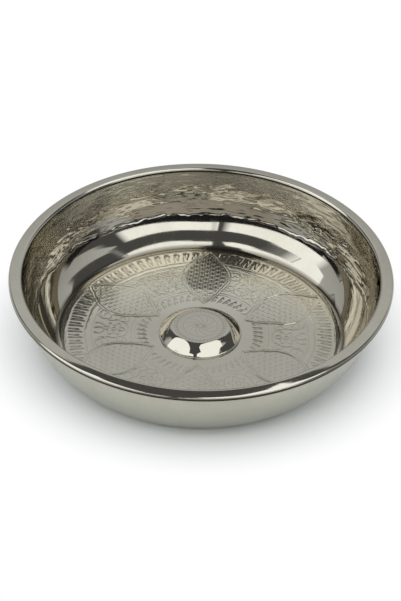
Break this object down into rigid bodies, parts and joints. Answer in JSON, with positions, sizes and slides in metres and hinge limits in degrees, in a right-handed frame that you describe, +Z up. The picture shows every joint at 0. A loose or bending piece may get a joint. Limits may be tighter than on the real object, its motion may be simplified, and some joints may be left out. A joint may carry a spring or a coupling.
{
  "type": "hammam bowl",
  "caption": "Shallow round metal bath bowl with a flat flanged mouth, an engraved floor and a hollow raised boss as a finger grip, used to pour water.",
  "frame": {"origin": "centre of the flat ring that the bowl stands on, at the plane that it rests on", "axes": "+Z up along the bowl's axis; the bowl is round, so X and Y are free, and -Y is the side that the picture shows in front"},
  "size_m": [0.2, 0.2, 0.041],
  "materials": {
    "nickel_sheet": "nickel plate on beaten copper sheet, satin to bright, engraved on the floor and beaten on the inner wall",
    "nickel_boss": "nickel plate, mirror polished",
    "iron_wire": "drawn iron wire, dull",
    "tin_solder": "wiped tin solder, satin"
  },
  "bodies": {
    "root": {"bowl_shell": "nickel_sheet", "rim_wire": "iron_wire", "boss": "nickel_boss", "boss_solder": "tin_solder"}
  },
  "joints": []
}
